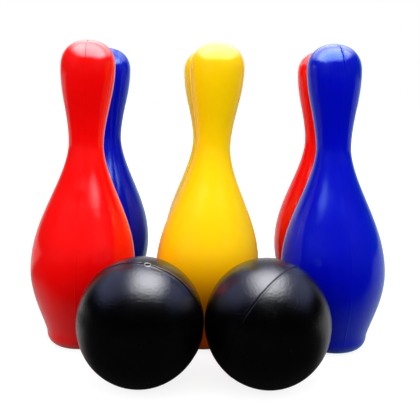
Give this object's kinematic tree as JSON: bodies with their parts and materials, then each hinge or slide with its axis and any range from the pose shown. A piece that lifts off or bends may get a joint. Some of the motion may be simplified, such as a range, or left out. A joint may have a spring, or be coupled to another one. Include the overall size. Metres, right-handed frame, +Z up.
{
  "type": "kids bowling set",
  "caption": "Child's indoor bowling set: hollow plastic skittle-shaped pins standing in two rows, with hollow balls in front that roll along the floor to knock them over.",
  "frame": {"origin": "on the floor, at the middle of the area the set covers", "axes": "+X across the rows, to the right as the bowler sees them; +Y away from the bowler, from the balls to the back row; +Z up"},
  "size_m": [0.2834, 0.2664, 0.24],
  "materials": {
    "red_plastic": "satin-gloss blow-moulded plastic, bright red",
    "yellow_plastic": "satin-gloss blow-moulded plastic, warm yellow",
    "blue_plastic": "satin-gloss blow-moulded plastic, deep blue",
    "black_plastic": "satin-gloss blow-moulded plastic, black"
  },
  "bodies": {
    "front_yellow_pin": {"pin_yellow_front": "yellow_plastic"},
    "front_red_pin": {"pin_red_front": "red_plastic"},
    "front_blue_pin": {"pin_blue_front": "blue_plastic"},
    "back_blue_pin": {"pin_blue_back": "blue_plastic"},
    "back_yellow_pin": {"pin_yellow_back": "yellow_plastic"},
    "back_red_pin": {"pin_red_back": "red_plastic"},
    "left_ball": {"ball_left": "black_plastic"},
    "right_ball": {"ball_right": "black_plastic"}
  },
  "joints": [
    {"name": "front_red_pin_tips", "type": "hinge", "parent": "front_yellow_pin", "child": "front_red_pin", "pos_m": [-0.11709, -0.00697, 0.0295], "axis": [0, -1, 0], "range_deg": [0, 97]},
    {"name": "front_blue_pin_tips", "type": "hinge", "parent": "front_yellow_pin", "child": "front_blue_pin", "pos_m": [0.11358, -0.00697, 0.0295], "axis": [0, 1, 0], "range_deg": [0, 97]},
    {"name": "back_blue_pin_tips", "type": "hinge", "parent": "front_yellow_pin", "child": "back_blue_pin", "pos_m": [-0.11419, 0.09253, 0.0295], "axis": [0, -1, 0], "range_deg": [0, 97]},
    {"name": "back_yellow_pin_tips", "type": "hinge", "parent": "front_yellow_pin", "child": "back_yellow_pin", "pos_m": [-0.00012, 0.10612, 0.0295], "axis": [-1, 0, 0], "range_deg": [0, 97]},
    {"name": "back_red_pin_tips", "type": "hinge", "parent": "front_yellow_pin", "child": "back_red_pin", "pos_m": [0.11653, 0.09253, 0.0295], "axis": [0, 1, 0], "range_deg": [0, 97]},
    {"name": "left_ball_rolls", "type": "slide", "parent": "front_yellow_pin", "child": "left_ball", "axis": [0, -1, 0], "range_m": [0, 0.25]},
    {"name": "right_ball_rolls", "type": "slide", "parent": "front_yellow_pin", "child": "right_ball", "axis": [0, -1, 0], "range_m": [0, 0.25]}
  ]
}
